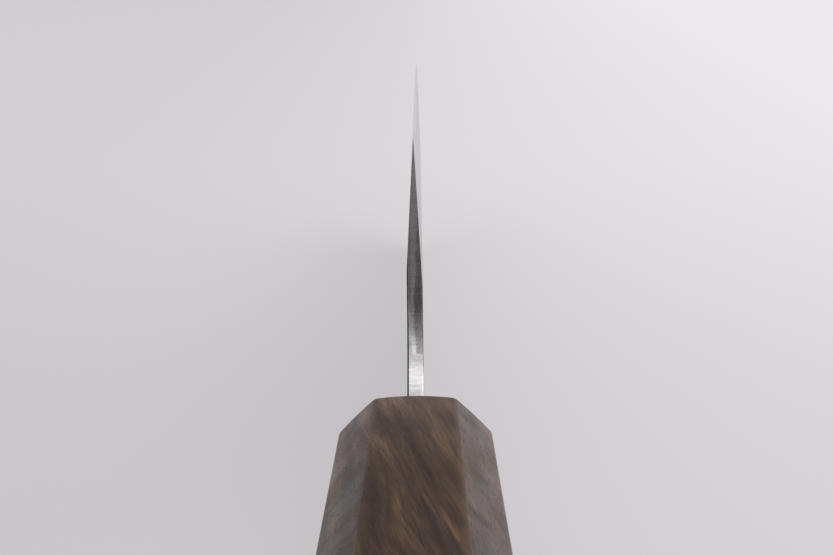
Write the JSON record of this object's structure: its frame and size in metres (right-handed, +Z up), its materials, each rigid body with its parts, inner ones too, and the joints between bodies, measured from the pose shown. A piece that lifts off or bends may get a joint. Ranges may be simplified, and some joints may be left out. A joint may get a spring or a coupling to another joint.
{
  "type": "bunka knife",
  "caption": "Japanese-style kitchen knife with a reverse-angled tip: a laminated steel blade with ground bevels, glued by its hidden tang into a tapered octagonal wooden handle.",
  "frame": {"origin": "middle of the footprint, on the surface that the knife stands on, edge up", "axes": "+X from the butt of the handle to the tip, +Y across the blade to the left, +Z up towards the cutting edge"},
  "size_m": [0.31, 0.0206, 0.0489],
  "materials": {
    "core_steel": "fine polished, with hairline scratches",
    "cladding_steel": "dark forge scale on the flats, hazy satin on the ground bevels",
    "handle_wood": "oiled satin, dark brown with near-black streaks",
    "tang_glue": "cured dark resin"
  },
  "bodies": {
    "root": {"core_steel": "core_steel", "cladding_left": "cladding_steel", "cladding_right": "cladding_steel", "handle": "handle_wood", "tang_glue": "tang_glue"}
  },
  "joints": []
}
